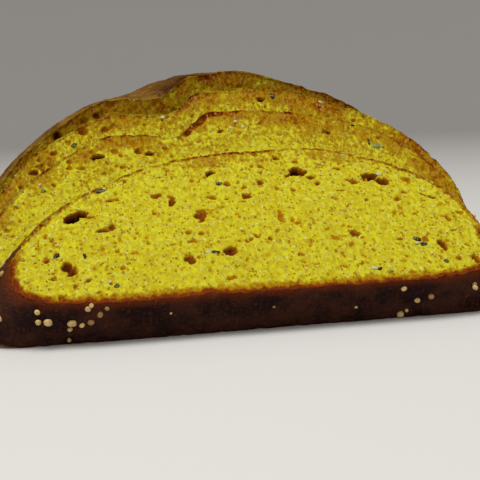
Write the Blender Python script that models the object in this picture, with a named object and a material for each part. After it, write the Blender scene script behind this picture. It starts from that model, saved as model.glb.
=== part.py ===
"""A round sourdough loaf, cut from the front, with its slices leaning back on the uncut rest.

The whole loaf is described first, as cross-sections at stations along its length. Each
slice is the stretch between two stations, tipped back about the rear edge of its base
until its top edge meets the next piece. The uncut rest stands upright behind them.

Frame: metres, +Z up, +X across the slices, +Y from the front slice to the loaf's back.
The origin is the middle of the footprint, on the surface that the loaf stands on.
"""
from math import asin, cos, pi, radians, sin, sqrt, tan

import bmesh
import bpy

# The whole loaf
LOAF_RADIUS = 0.1008           # half its width at the middle
CREST_HEIGHT = 0.0802          # top of the dome above the base
BELLY_HEIGHT = 0.016           # height of its widest line above the base
BASE_TURN_IN = 0.022           # how far the flat base ends inside the widest line

# Powers of the curves: 2 is an ellipse, more is squarer, less is more pointed
LENGTHWISE_POWERS = (3.0, 2.75)
LEFT_FRONT_POWERS = (1.7, 1.47)
LEFT_MIDDLE_POWERS = (2.25, 1.3)
RIGHT_FRONT_POWERS = (2.5, 2.3)
RIGHT_MIDDLE_POWERS = (1.6, 2.05)
CORNER_POWER = 3.0

# The score along the top, which baked open: its right lip stands up as an ear
EAR_FOOT = -0.0151             # where the ear starts to rise, at the second cut
EAR_WIDTH = 0.0141
TORN_WIDTH = 0.0289            # from the left lip to the foot of the ear
SCORE_DEPTH = 0.0096
SCORE_SLANT = -0.194           # sideways run of the score for each unit of length
SCORE_FADE_IN = (-0.073, -0.0503)
SCORE_FADE_OUT = (-0.060, 0.0532)

# Unevenness of the hand-shaped dough
LUMP_HEIGHT = 0.0009
OUTLINE_WOBBLE = 0.010

# The cuts
FRONT_CUT = -0.0675            # station of the front face of the front slice
SLICE_THICKNESS = 0.0154
SLICE_LEANS = (57.0, 44.5, 35.5)           # degrees back from upright, front to back
SLICE_NAMES = ("slice_front", "slice_middle", "slice_back")
SLICE_SIDE_STEPS = (-0.0012, 0.0, 0.0041)  # sideways slip of each slice, front to back
REST_SIDE_STEP = 0.0057
CONTACT_GAP = 0.0003

# Mesh density
CROWN_STEPS = 92
CORNER_STEPS = 7
BASE_STEPS = 5
SLICE_BANDS = 2
REST_BANDS = 22

CRUMB_COLOUR = (0.50, 0.40, 0.025, 1.0)
CRUST_COLOUR = (0.20, 0.085, 0.022, 1.0)


def smooth_step(value):
    """0 below 0, 1 above 1, and an S-shaped rise between them."""
    clipped = min(1.0, max(0.0, value))
    return clipped * clipped * (3 - 2 * clipped)


def chord(station, radius):
    """Half the width of a circle at a distance from its middle."""
    return sqrt(max(0.0, radius ** 2 - station ** 2))


def crest_height(station):
    """Height of the dome's ridge at a station along the loaf."""
    along, up = LENGTHWISE_POWERS
    ratio = min(1.0, abs(station) / LOAF_RADIUS)
    return BELLY_HEIGHT + (CREST_HEIGHT - BELLY_HEIGHT) * (1 - ratio ** along) ** (1 / up)


def underside_height(station):
    """Height of the lowest point at a station: 0 until the base turns up at the ends."""
    past_base = max(0.0, abs(station) - (LOAF_RADIUS - BASE_TURN_IN))
    ratio = min(1.0, past_base / BASE_TURN_IN)
    return BELLY_HEIGHT * (1 - (1 - ratio ** CORNER_POWER) ** (1 / CORNER_POWER))


def score_drop(x, station):
    """Depth of the open score below the dome, across its torn floor and up its ear."""
    start, full = SCORE_FADE_IN
    hold, end = SCORE_FADE_OUT
    strength = smooth_step((station - start) / (full - start))
    strength *= 1 - smooth_step((station - hold) / (end - hold))
    foot = EAR_FOOT + SCORE_SLANT * (station - FRONT_CUT - SLICE_THICKNESS)
    torn = smooth_step((x - foot + TORN_WIDTH) / TORN_WIDTH)
    ear = smooth_step((x - foot) / EAR_WIDTH)
    return SCORE_DEPTH * strength * torn * (1 - ear)


def lumps(x, station):
    """Gentle waves over the dome, of a hand's breadth and of a finger's."""
    wide = sin(52 * x + 31 * station + 0.7) + sin(47 * station - 23 * x + 2.1)
    narrow = sin(131 * x - 88 * station + 1.3) * sin(117 * station + 0.4)
    return LUMP_HEIGHT * (wide + 0.8 * narrow)


def crown_point(angle, station, half_width):
    """A point on the dome, from the right belly line (0) to the left one (pi)."""
    toward_middle = smooth_step(1 - station / FRONT_CUT)
    if angle < pi / 2:
        side, front_powers, middle_powers = 1, RIGHT_FRONT_POWERS, RIGHT_MIDDLE_POWERS
    else:
        side, front_powers, middle_powers = -1, LEFT_FRONT_POWERS, LEFT_MIDDLE_POWERS
    across_power, up_power = (front + (middle - front) * toward_middle
                              for front, middle in zip(front_powers, middle_powers))
    up = max(0.0, sin(angle)) ** (2 / up_power)
    x = side * half_width * abs(cos(angle)) ** (2 / across_power)
    z = BELLY_HEIGHT + (crest_height(station) - BELLY_HEIGHT) * up
    return x, z + (lumps(x, station) - score_drop(x, station)) * smooth_step(up * 1.6)


def corner_point(angle, side, station, half_width):
    """A point on the turned-in corner, from the belly line (0) down to the base (pi/2)."""
    base_half = chord(station, LOAF_RADIUS - BASE_TURN_IN)
    low = underside_height(station)
    inward = max(0.0, cos(angle)) ** (2 / CORNER_POWER)
    down = sin(angle) ** (2 / CORNER_POWER)
    x = side * (base_half + (half_width - base_half) * inward)
    return x, BELLY_HEIGHT - (BELLY_HEIGHT - low) * down


def section(station):
    """The loaf's closed outline at a station, as (x, z) points, anticlockwise from +X."""
    wobble = 1 + OUTLINE_WOBBLE * sin(41 * station + 0.9)
    half_width = chord(station, LOAF_RADIUS) * wobble
    points = [crown_point(pi * step / CROWN_STEPS, station, half_width)
              for step in range(CROWN_STEPS + 1)]
    turns = [pi / 2 * step / CORNER_STEPS for step in range(1, CORNER_STEPS + 1)]
    points += [corner_point(turn, -1, station, half_width) for turn in turns]
    left, right = points[-1], corner_point(pi / 2, 1, station, half_width)
    for step in range(1, BASE_STEPS):
        share = step / BASE_STEPS
        points.append((left[0] + (right[0] - left[0]) * share, left[1]))
    points += [corner_point(turn, 1, station, half_width) for turn in reversed(turns)]
    return points


def add_ring(mesh, station, along):
    """Put one cross-section into the mesh, at a place along the piece's own Y."""
    return [mesh.verts.new((x, along, z)) for x, z in section(station)]


def add_band(mesh, front_ring, back_ring):
    """Join two neighbouring cross-sections with a band of faces that look outwards."""
    count = len(front_ring)
    for index in range(count):
        after = (index + 1) % count
        mesh.faces.new((front_ring[index], back_ring[index], back_ring[after], front_ring[after]))


def slice_mesh(front_station):
    """One slice, with its rear cut face in the plane y = 0 and its base on z = 0."""
    mesh = bmesh.new()
    rings = []
    for band in range(SLICE_BANDS + 1):
        forward = SLICE_THICKNESS * (1 - band / SLICE_BANDS)
        rings.append(add_ring(mesh, front_station + SLICE_THICKNESS - forward, -forward))
    for front_ring, back_ring in zip(rings, rings[1:]):
        add_band(mesh, front_ring, back_ring)
    mesh.faces.new(rings[0])
    mesh.faces.new(reversed(rings[-1]))
    return mesh


def rest_mesh(front_station):
    """The uncut rest, from its cut face in the plane y = 0 to its rounded end."""
    mesh = bmesh.new()
    start = asin(front_station / LOAF_RADIUS)
    rings = []
    for band in range(REST_BANDS):
        station = LOAF_RADIUS * sin(start + (pi / 2 - start) * band / REST_BANDS)
        rings.append(add_ring(mesh, station, station - front_station))
    for front_ring, back_ring in zip(rings, rings[1:]):
        add_band(mesh, front_ring, back_ring)
    mesh.faces.new(rings[0])
    pole = mesh.verts.new((0, LOAF_RADIUS - front_station, BELLY_HEIGHT))
    last = rings[-1]
    for index, corner in enumerate(last):
        mesh.faces.new((corner, pole, last[(index + 1) % len(last)]))
    return mesh


def top_edge(front_station, lean, place):
    """Where the highest point of a tipped slice's rear face ends up, as (y, z)."""
    height = max(z for _, z in section(front_station + SLICE_THICKNESS))
    return place + height * sin(lean), height * cos(lean)


def place_behind(edge, lean):
    """Place of the next piece, so that its tipped front face just clears the edge before it."""
    edge_y, edge_z = edge
    thickness = SLICE_THICKNESS if lean else 0
    face_foot = edge_y + CONTACT_GAP / cos(lean) - (edge_z - thickness * sin(lean)) * tan(lean)
    return face_foot + thickness * cos(lean)


def matt_material(name, colour, roughness):
    """A plain matt finish for one piece."""
    material = bpy.data.materials.new(name)
    material.use_nodes = True
    shader = material.node_tree.nodes["Principled BSDF"]
    shader.inputs["Base Color"].default_value = colour
    shader.inputs["Roughness"].default_value = roughness
    shader.inputs["Metallic"].default_value = 0.0
    return material


def add_piece(name, mesh, material, parent, place, lean, sideways):
    """Turn a mesh into a named object, tipped back and put in its place."""
    bmesh.ops.recalc_face_normals(mesh, faces=mesh.faces)
    data = bpy.data.meshes.new(name)
    mesh.to_mesh(data)
    mesh.free()
    data.materials.append(material)
    data.shade_smooth()
    data.set_sharp_from_angle(angle=radians(40))
    piece = bpy.data.objects.new(name, data)
    bpy.context.collection.objects.link(piece)
    piece.parent = parent
    piece.location = (sideways, place, 0)
    piece.rotation_euler = (-lean, 0, 0)
    return piece


def centre_footprint(root, pieces):
    """Move the whole loaf so that the origin is under the middle of its box."""
    bpy.context.view_layer.update()
    corners = [piece.matrix_world @ vertex.co for piece in pieces for vertex in piece.data.vertices]
    for axis in (0, 1):
        values = [corner[axis] for corner in corners]
        root.location[axis] = -(min(values) + max(values)) / 2
    root.location[2] = -min(corner[2] for corner in corners)
    bpy.context.view_layer.update()


def build_loaf():
    """Make the slices one after another, then the rest that they lean on."""
    for existing in list(bpy.data.objects):
        bpy.data.objects.remove(existing, do_unlink=True)
    root = bpy.data.objects.new("loaf", None)
    bpy.context.collection.objects.link(root)
    pieces = []
    station = FRONT_CUT
    place = 0.0
    for name, degrees_back, sideways in zip(SLICE_NAMES, SLICE_LEANS, SLICE_SIDE_STEPS):
        lean = radians(degrees_back)
        if pieces:
            place = place_behind(edge, lean)
        crumb = matt_material(name + "_crumb", CRUMB_COLOUR, 0.85)
        pieces.append(add_piece(name, slice_mesh(station), crumb, root, place, lean, sideways))
        edge = top_edge(station, lean, place)
        station += SLICE_THICKNESS
    crust = matt_material("loaf_rest_crust", CRUST_COLOUR, 0.7)
    place = place_behind(edge, 0.0)
    pieces.append(add_piece("loaf_rest", rest_mesh(station), crust, root, place, 0.0,
                            REST_SIDE_STEP))
    centre_footprint(root, pieces)


build_loaf()
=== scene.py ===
"""A round of yellow gluten-free sourdough, cut from the front, built round its fixed frame.

The loaf is one mathematical form: a closed outline for every station along its length.
Each slice is a closed skin of three surfaces, a front face, a band of crust and a rear
face, worked out as whole arrays, with the pores of the crumb as real hollows.
"""
from itertools import product
from math import asin, cos, pi, radians, sin

import bpy
import numpy as np
from bpy.props import FloatProperty, FloatVectorProperty, PointerProperty
from bpy.types import Operator, Panel, PropertyGroup
from mathutils import Matrix, Vector


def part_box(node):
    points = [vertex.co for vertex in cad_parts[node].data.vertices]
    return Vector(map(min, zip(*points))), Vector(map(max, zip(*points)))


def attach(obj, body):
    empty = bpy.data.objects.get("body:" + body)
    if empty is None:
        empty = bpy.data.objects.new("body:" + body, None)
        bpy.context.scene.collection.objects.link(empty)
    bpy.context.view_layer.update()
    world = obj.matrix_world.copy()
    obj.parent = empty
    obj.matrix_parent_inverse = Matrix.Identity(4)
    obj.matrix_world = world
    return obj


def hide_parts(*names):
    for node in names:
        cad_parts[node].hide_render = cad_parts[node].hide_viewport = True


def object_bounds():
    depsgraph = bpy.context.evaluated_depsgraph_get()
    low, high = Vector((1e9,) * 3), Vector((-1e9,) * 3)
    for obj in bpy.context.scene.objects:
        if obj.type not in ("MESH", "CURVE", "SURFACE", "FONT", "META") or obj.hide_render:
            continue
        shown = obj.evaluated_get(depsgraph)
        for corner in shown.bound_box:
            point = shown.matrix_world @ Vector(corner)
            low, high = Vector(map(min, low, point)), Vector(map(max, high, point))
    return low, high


bl_info = {
    "name": "Sliced Round Sourdough",
    "version": (1, 0, 0),
    "blender": (4, 5, 0),
    "location": "3D View > Sidebar > Sourdough",
    "description": "Builds a round yellow sourdough with its slices leaning on the uncut rest",
    "category": "Add Mesh",
}

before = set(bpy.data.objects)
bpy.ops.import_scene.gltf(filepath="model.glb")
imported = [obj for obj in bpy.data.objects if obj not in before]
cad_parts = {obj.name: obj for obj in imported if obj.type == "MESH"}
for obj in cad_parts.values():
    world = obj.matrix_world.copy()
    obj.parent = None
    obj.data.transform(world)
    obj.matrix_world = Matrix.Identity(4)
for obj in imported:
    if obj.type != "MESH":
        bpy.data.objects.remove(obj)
CAD_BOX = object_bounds()

MM = 0.001

# Powers of the loaf's curves: 2 is an ellipse, more is squarer, less is more pointed. The
# dome's are those of its right and left sides, at the first cut and at the middle.
LENGTHWISE_POWERS = (3.0, 2.75)
ACROSS_POWERS = ((2.5, 1.7), (1.6, 2.25))
UP_POWERS = ((2.3, 1.47), (2.05, 1.3))
CORNER_POWER = 3.0

# Turns round the outline, from the right belly line: the dome ends at half a turn
CORNER_TURN = pi / 8
SHOULDER_TURN = 0.22 * pi

# Where along the loaf the score starts to open and to close, and over what lengths; how its
# ear slants; and, in mm right of the ear's foot, how soon its lip is full and how it fades
SCORE_OPENS = (-0.073, 0.0227)
SCORE_CLOSES = (-0.060, 0.1132)
EAR_SLANT = 0.194
LIP_RISE, LIP_END, LIP_FADE = 4, 16, 13

# Each slice: its CAD node, how far it leans back, and its number from the front
SLICES = {
    "front_slice": ("slice_front", 57.0, 0),
    "middle_slice": ("slice_middle", 44.5, 1),
    "back_slice": ("slice_back", 35.5, 2),
}

# Cells across and up a front face, a rear face with its crust, and the rest's face; and rows
# of crust along a slice and along the rest
FACE_CELLS = (356, 178)
REAR_CELLS = (178, 89)
REST_CELLS = (208, 104)
CRUST_ROWS = 22
REST_ROWS = 120

# Browning and painted shade of each cut from the front: strength of its thin rim; of its wide
# faint one, which is partly toasting and partly painted shade that grows on the cuts further
# back; how much more of that painted shade is on the right; and strength of the ear's dark lip
RIMS = [(0.78, 0.06, 0, 0), (0.44, 0.20, 0.30, 0.98), (0.36, 0.25, 0.28, 0.80), (0.40, 0.31, 0, 0.68)]

# Random pores, in mm: their grid's cell, their smallest and largest radius, the share of
# cells that have one, and the seed of their draw
PORES = [(1.9, 0.32, 0.62, 0.34, 31), (3.4, 0.55, 1.15, 0.42, 41), (7.5, 0.90, 1.50, 0.20, 51)]

# Large holes of each cut: place across and up, half sizes, turn and depth, in mm and degrees
CUT_HOLES = {
    0: [(21.3, 57.4, 3.3, 2.4, 6, 4.2), (25, 54, 1.4, 1.1, 0, 1.6), (26.5, 50.4, 1.2, 1.1, 0, 1.3),
        (7.5, 52.6, 1.2, 1.5, 0, 1.8), (1.4, 45.5, 1.5, 1.7, -20, 1.6), (33.5, 46, 1.7, 1, 10, 1.1),
        (35.4, 58, 1.4, 0.8, -10, 1), (45.6, 53, 2.7, 2.4, -20, 2.4), (48.8, 50, 2.7, 2, -10, 2.8),
        (57.3, 50.6, 1.7, 1.2, -15, 1), (62.5, 51.3, 1.4, 1.5, 0, 1.6), (51.4, 40, 1.2, 1.2, 0, 1),
        (61, 41, 1.8, 0.8, -35, 1.6), (63.4, 39.2, 1.4, 0.8, -10, 1.6), (15.6, 66, 1, 1.5, 30, 1.6),
        (22, 63.4, 1.2, 0.8, 0, 1), (9.3, 61.5, 1.4, 0.9, -10, 1.2), (29.5, 61, 1.2, 0.7, -15, 0.9),
        (-7.5, 59, 2, 1.3, 10, 4.2), (-27.4, 48.6, 1.7, 1.2, 20, 1.2), (-22.8, 45, 1.2, 1.8, 0, 2),
        (-9.7, 46, 2.2, 1, -5, 1.2), (-42.5, 47.4, 1.7, 1.1, 0, 1), (-3.6, 52.5, 1.1, 1.3, 0, 1.3),
        (-54.5, 39, 2.7, 2.3, 20, 4.2), (-51.3, 40.9, 2.6, 1.9, 25, 4.2), (-45, 32.7, 2.2, 1, 5, 1.8),
        (-42.8, 34.2, 1.2, 1.2, 0, 1.6), (-62.8, 31.4, 0.9, 1.1, 0, 1), (-63, 19.9, 1, 0.9, 10, 1.8),
        (-57.4, 17, 1.8, 2.1, 0, 2.4), (-56, 15, 2.2, 1.9, 30, 2.4), (-21, 16.6, 1.8, 1.9, 0, 2),
        (-14.8, 37.2, 2.1, 3.1, -15, 1.7), (-8.2, 19, 2.1, 1.9, 0, 2.6), (-47, 23.3, 1.2, 1.9, 0, 0.5),
        (10.5, 34.2, 1, 3.2, 0, 0.8), (15.2, 30.3, 1.4, 1.2, 0, 0.9), (32.3, 23.6, 1.6, 1.9, 0, 1.7),
        (25.5, 22.3, 1.4, 1.4, 10, 0.6), (29.3, 18.6, 1, 1.1, 0, 0.8), (26, 14.6, 0.8, 1.3, 0, 0.8),
        (25.5, 8.6, 1.3, 1.2, 0, 0.5), (64.6, 28, 0.9, 1.3, 0, 1), (58.4, 15.7, 1.3, 2.8, 8, 2.2),
        (54, 18.6, 1.4, 1.3, 0, 0.7), (66.6, 7.7, 1.2, 2.2, 0, 1.4), (51.7, 7.8, 0.7, 0.8, 0, 1.2)],
    1: [(-44, 56, 2.4, 1.2, 14, 4.4), (-25.5, 56.6, 2.1, 0.9, 0, 4.4), (42.6, 63.3, 1.2, 1, 0, 1.8),
        (-20, 59, 1.2, 1.1, 0, 1.2), (17.4, 69.4, 1.2, 0.8, 0, 1.2), (-67, 51, 1.6, 1.4, 20, 2),
        (-54.6, 51.5, 1.2, 1.5, 0, 1), (-50.1, 51.2, 1.7, 1, 0, 0.9), (-37.8, 58.6, 1.8, 1.3, 40, 0.9),
        (-30.7, 61.6, 1.9, 1.5, -40, 0.8), (-42.7, 47.9, 1.5, 0.8, 10, 0.7),
        (-35.8, 50.3, 1.3, 0.8, 20, 0.8)],
    2: [(20, 74.2, 2.3, 0.9, 4, 3), (35, 40, 2.8, 1.8, 30, 2.4), (-51.7, 62, 1.8, 1.4, 40, 1.4),
        (-43.3, 62.5, 2.2, 1.3, 30, 1.2), (-71, 44.5, 2, 1.4, 0, 2), (-68, 46.5, 1.6, 1.6, 0, 1.1),
        (-63.6, 52.6, 1.8, 1, 0, 1.2), (-27.1, 69.8, 1.9, 2.2, 0, 0.9),
        (-35.6, 66.8, 1.2, 2.4, 20, 0.7)],
    3: [(-62.6, 57.2, 2.3, 2, 40, 2.6), (-46.3, 64.5, 1.8, 1.5, 0, 2), (-52.1, 62.7, 2, 1.3, 30, 1.2),
        (-28.4, 72.8, 2, 1.5, 0, 1.2), (-40.9, 68.4, 1.8, 1.5, 0, 0.9), (10, 50, 3, 2, 0, 2.6)],
}

# How far the crumb lies behind its rim, and the height of its grain and of its wide waves
CRUMB_INSET, CRUMB_GRAIN, CRUMB_WAVES = 0.45 * MM, 0.17 * MM, 0.25 * MM

# Heights of the crust's blisters and grit, and depth of its pits, in mm
BLISTERS, GRIT, PITS = 0.40, 0.42, 1.8

# Grains on the front slice's base: place across, forward of its rear edge, half size, in mm
BASE_GRAINS = [
    (-63.7, 9.7, 1.35), (-57.1, 8.6, 1.35), (-54.3, 7.5, 0.95), (-51.8, 8.4, 1.05), (-57.7, 6.2, 0.85),
    (-58.1, 1.9, 0.8), (-49.2, 11.3, 1), (-52.5, 13.6, 0.95), (-51.6, 15, 0.8), (-47.2, 13.4, 0.9),
    (-66.4, 10, 0.9), (-66.5, 13.9, 0.95), (41, 12.4, 1), (50.4, 8.2, 1.1), (46.2, 7, 1),
    (41.8, 1.6, 1.2), (64.1, 10.6, 1.1), (1.4, 9.1, 0.6), (27, 6.1, 0.5), (43.6, 3, 0.7),
    (-29, 9.5, 0.5)]

# Random grains on each piece's crust, and how much of a grain's half height is above it
GRAIN_COUNTS = {"front_slice": 14, "middle_slice": 10, "back_slice": 10, "uncut_loaf": 70}
GRAIN_LIFT = 0.25

# Seeds in each cut: place across and up, half sizes, turn, in mm and degrees, and shade, from
# 0, black, through 0.5, green, to 1, white
CUT_SEEDS = {
    0: [(-45, 52.3, 1.8, 1.3, 20, 0), (-43.6, 53.2, 0.7, 0.6, 0, 0.95),
        (-60.2, 21.9, 1.6, 0.7, 55, 0.05), (-61.4, 20.9, 0.5, 0.45, 0, 0.9),
        (-51.9, 21.1, 0.6, 1.1, 0, 0.1), (-43.8, 7.1, 0.8, 1.1, 0, 0.2), (-45.6, 9, 0.6, 0.6, 0, 0.95),
        (-13, 18.8, 1.9, 0.8, -8, 0.1), (-15.4, 19.3, 1.2, 0.75, -5, 0.95),
        (51, 18.6, 1.4, 1, -40, 0.1), (52.5, 16.5, 1.3, 0.7, 20, 0.1), (50.7, 17.2, 0.9, 0.7, 0, 0.85),
        (33.5, 7.1, 1.2, 0.8, 0, 1), (35.2, 6.6, 0.8, 0.6, 20, 0.1), (38.3, 5.1, 0.9, 0.6, 0, 0.45),
        (56.8, 7.8, 0.8, 0.9, 0, 0.25), (-6.2, 52.7, 1.1, 0.8, 10, 0.2), (49, 53.6, 1.1, 1.2, 0, 0.85),
        (34.5, 66.6, 0.9, 0.5, 0, 0.8), (39.5, 65.4, 1, 0.45, -10, 0.8)],
    1: [(59.6, 55, 1.5, 1.1, 5, 0.55), (57.2, 57.4, 0.5, 1.7, 0, 0.2), (61.6, 54.7, 0.9, 0.7, -10, 0.7),
        (8.1, 70.6, 0.9, 0.7, 0, 1), (10.6, 67.7, 0.8, 0.7, 0, 0.95), (6, 67.5, 0.9, 0.6, 0, 0.9),
        (53, 66, 0.8, 0.6, 0, 0.2), (-64.9, 44.3, 0.8, 0.8, 0, 0.95), (-64, 41.5, 0.9, 0.8, 0, 0.4)],
    2: [(25, 75.4, 1.3, 1.7, 0, 0.05), (-55.5, 55.8, 1.3, 1, 30, 0.3), (-20.3, 67, 0.9, 0.9, 0, 0.9),
        (44.4, 71.6, 1.2, 0.6, -20, 0.85)],
}

# How far the seeds lie behind their cut's plane, and half their thickness, in mm
SEED_INSET, SEED_HALF_DEPTH = 0.42, 0.38


# ---- sizes and colours

def length(name, description, default):
    """A size property in metres."""
    return FloatProperty(name=name, description=description, default=default, unit="LENGTH",
                         precision=4, min=-1.0, max=1.0)


def colour(name, description, default):
    """A colour property, in linear red, green and blue."""
    return FloatVectorProperty(name=name, description=description, default=default,
                               subtype="COLOR", size=3, min=0.0, max=1.0)


class LoafSizes(PropertyGroup):
    """Sizes of the whole loaf, as it was before it was sliced."""
    radius: length("Radius", "Half the loaf's width at its middle", 0.1008)
    crest: length("Crest height", "Top of the dome above the base", 0.0802)
    belly: length("Belly height", "Height of the widest line above the base", 0.016)
    turn_in: length("Base turn-in", "How far the flat base ends inside the widest line", 0.022)
    first_cut: length("First cut", "Station of the front slice's face", -0.0675)
    thickness: length("Slice thickness", "How thick each slice is", 0.0154)
    ear_foot: length("Ear foot", "Where the ear starts to rise, at the second cut", -0.0151)
    ear_width: length("Ear width", "How far the ear takes to rise", 0.0141)
    torn_width: length("Torn width", "Width of the torn strip beside the ear", 0.0289)
    score_depth: length("Score depth", "How deep the baked-open score is", 0.0096)


class CrumbLook(PropertyGroup):
    """Colours of the cut crumb."""
    crumb: colour("Crumb", "The yellow of the cut crumb", (0.545, 0.5, 0.018))
    deep_crumb: colour("Deep crumb", "The deeper yellow between", (0.42, 0.29, 0.004))
    # Paler specks of crumb, partly painted highlights on its grains
    pale_crumb_and_highlight: colour("Pale crumb", "The palest grains of the crumb", (0.67, 0.645, 0.13))
    # The three pore colours are painted shade: the crumb darkens in its hollows by their depth, to near
    # black at the bottom of large holes.
    shallow: colour("Shallow pore", "The walls of a shallow pore", (0.38, 0.16, 0.003))
    pore: colour("Pore", "The walls of a pore", (0.225, 0.062, 0.004))
    deep_pore_shade: colour("Deep pore", "The bottom of a large hole", (0.042, 0.009, 0.002))
    golden: colour("Golden rim", "The crumb a little way from the crust", (0.345, 0.202, 0.006))
    toasted: colour("Toasted rim", "The crumb close to the crust", (0.25, 0.07, 0.002))
    browned: colour("Browned rim", "The crumb at the crust", (0.095, 0.013, 0.001))
    flake: colour("Rim flakes", "The pale flakes on the toasted rim", (0.42, 0.225, 0.062))
    black_husk: colour("Black husk", "The darkest seeds in the crumb", (0.03, 0.02, 0.006))
    green_husk: colour("Green husk", "The green seeds in the crumb", (0.17, 0.21, 0.055))
    white_husk: colour("White husk", "The palest seeds in the crumb", (0.5, 0.46, 0.22))
    roughness: FloatProperty(name="Roughness", description="Roughness of the crumb",
                             default=0.95, subtype="FACTOR", min=0.0, max=1.0)


class CrustLook(PropertyGroup):
    """Colours of the crust and of what sticks to it."""
    golden: colour("Golden crust", "The paler crust of the dome", (0.275, 0.134, 0.021))
    browned: colour("Browned crust", "The darker crust of the dome", (0.085, 0.03, 0.009))
    ear: colour("Ear", "The dark crust of the ear", (0.045, 0.011, 0.004))
    torn: colour("Torn score", "The paler crust where the score opened", (0.27, 0.165, 0.013))
    under: colour("Under crust", "The nearly black crust of the base", (0.018, 0.0092, 0.0088))
    under_pale: colour("Brown under crust", "Browner patches of the base", (0.08, 0.028, 0.016))
    under_rim: colour("Under rim", "The base crust beside a cut", (0.16, 0.03, 0.006))
    grain: colour("Grain", "Whole grains stuck to the crust", (0.66, 0.46, 0.17))
    dark_grain: colour("Dark grain", "Browner grains among them", (0.3, 0.15, 0.04))


class StageLook(PropertyGroup):
    """Floor and camera."""
    floor: colour("Floor", "The plain floor", (0.62, 0.6, 0.57))
    lens: FloatProperty(name="Lens", description="Focal length of the camera in millimetres",
                        default=75.0, min=10.0, max=300.0)


# ---- the loaf's form

def smooth_step(value):
    """0 below 0, 1 above 1, and an S-shaped rise between them."""
    clipped = np.clip(value, 0.0, 1.0)
    return clipped * clipped * (3 - 2 * clipped)


def unit(vectors):
    """The same directions, each one long."""
    return vectors / np.maximum(np.linalg.norm(vectors, axis=-1, keepdims=True), 1e-12)


def cut_station(sizes, number):
    """Where a cut, numbered from the front, is along the loaf."""
    return sizes.first_cut + number * sizes.thickness


def chord(station, radius):
    """Half the width of a circle at a distance from its middle."""
    return np.sqrt(np.maximum(0.0, radius ** 2 - station ** 2))


def rounded_fall(ratio, along, up):
    """A superellipse's quarter: from 1 at a ratio of 0 down to 0 at 1 and beyond."""
    return (1 - np.minimum(1.0, ratio) ** along) ** (1 / up)


def crest_height(sizes, station):
    """Ridge of the dome, from the crest's height down to the belly line."""
    fall = rounded_fall(np.abs(station) / sizes.radius, *LENGTHWISE_POWERS)
    return sizes.belly + (sizes.crest - sizes.belly) * fall


def underside_height(sizes, station):
    """Lowest point: 0 over the flat base, then up to the belly line."""
    past_base = np.maximum(0.0, np.abs(station) - (sizes.radius - sizes.turn_in))
    return sizes.belly * (1 - rounded_fall(past_base / sizes.turn_in, CORNER_POWER, CORNER_POWER))


def score_parts(sizes, x, station):
    """How open the score is, how far into its torn strip x is, how far up the ear, and lip.

    The lip is 1 just right of the ear's foot and fades out further right.
    """
    opening, closing = ((station - start) / span for start, span in (SCORE_OPENS, SCORE_CLOSES))
    strength = smooth_step(opening) * (1 - smooth_step(closing))
    foot = sizes.ear_foot - EAR_SLANT * (station - sizes.first_cut - sizes.thickness)
    torn = smooth_step((x - foot + sizes.torn_width) / sizes.torn_width)
    ear = smooth_step((x - foot) / sizes.ear_width)
    beyond = (x - foot) / MM
    lip = smooth_step(beyond / LIP_RISE) * (1 - smooth_step((beyond - LIP_END) / LIP_FADE))
    return strength, torn, ear, lip


def lumps(x, station):
    """Gentle waves over the dome: two wide sine waves and a product of two narrower ones."""
    wide = np.sin(52 * x + 31 * station + 0.7) + np.sin(47 * station - 23 * x + 2.1)
    narrow = np.sin(131 * x - 88 * station + 1.3) * np.sin(117 * station + 0.4)
    return 0.9 * MM * (wide + 0.8 * narrow)


def outline(sizes, station, turn):
    """Points of the loaf's outline at a station, for turns round it from the right belly.

    The dome is a quarter superellipse on each side, with waves, and lowered by the score;
    the corners are quarter superellipses down to the base, which is a straight line.
    """
    turn = np.mod(turn, 2 * pi)
    half = chord(station, sizes.radius) * (1 + 0.010 * sin(41 * station + 0.9))
    base_half = chord(station, sizes.radius - sizes.turn_in)
    low = underside_height(sizes, station)

    angle = np.clip(turn, 0, pi)
    right = angle < pi / 2
    middle = smooth_step(1 - station / sizes.first_cut)
    across_power, up_power = (
        np.where(right, *(front + (centre - front) * middle for front, centre in zip(*powers)))
        for powers in (ACROSS_POWERS, UP_POWERS))
    up = np.sin(angle).clip(0) ** (2 / up_power)
    dome_x = np.where(right, 1, -1) * half * np.abs(np.cos(angle)) ** (2 / across_power)
    strength, torn, ear, _ = score_parts(sizes, dome_x, station)
    drop = sizes.score_depth * strength * torn * (1 - ear)
    dome_z = sizes.belly + (crest_height(sizes, station) - sizes.belly) * up
    dome_z = dome_z + (lumps(dome_x, station) - drop) * smooth_step(up * 1.6)

    past = turn - pi
    on_left = past < pi / 2
    corner = np.clip(np.where(on_left, past, pi - past) / CORNER_TURN, 0, 1) * pi / 2
    inward = np.cos(corner).clip(0) ** (2 / CORNER_POWER)
    down = np.sin(corner) ** (2 / CORNER_POWER)
    side = np.where(on_left, -1, 1)
    along_base = np.clip((past - CORNER_TURN) / (pi - 2 * CORNER_TURN), 0, 1) * 2 - 1
    on_base = (past > CORNER_TURN) & (past < pi - CORNER_TURN)
    under_x = np.where(on_base, base_half * along_base,
                       side * (base_half + (half - base_half) * inward))
    under_z = sizes.belly - (sizes.belly - low) * down
    over = turn <= pi
    return np.stack([np.where(over, dome_x, under_x), np.where(over, dome_z, under_z)], -1)


def stretch(sizes, station, start, stop, count):
    """Points spaced evenly along the outline between two turns, without the last one."""
    points = outline(sizes, station, np.linspace(start, stop, 8 * count + 1))
    steps = np.linalg.norm(np.diff(points, axis=0), axis=1)
    travelled = np.concatenate([[0.0], np.cumsum(steps)])
    places = np.linspace(0, travelled[-1], count + 1)[:-1]
    return np.stack([np.interp(places, travelled, points[:, axis]) for axis in (0, 1)], -1)


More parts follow.
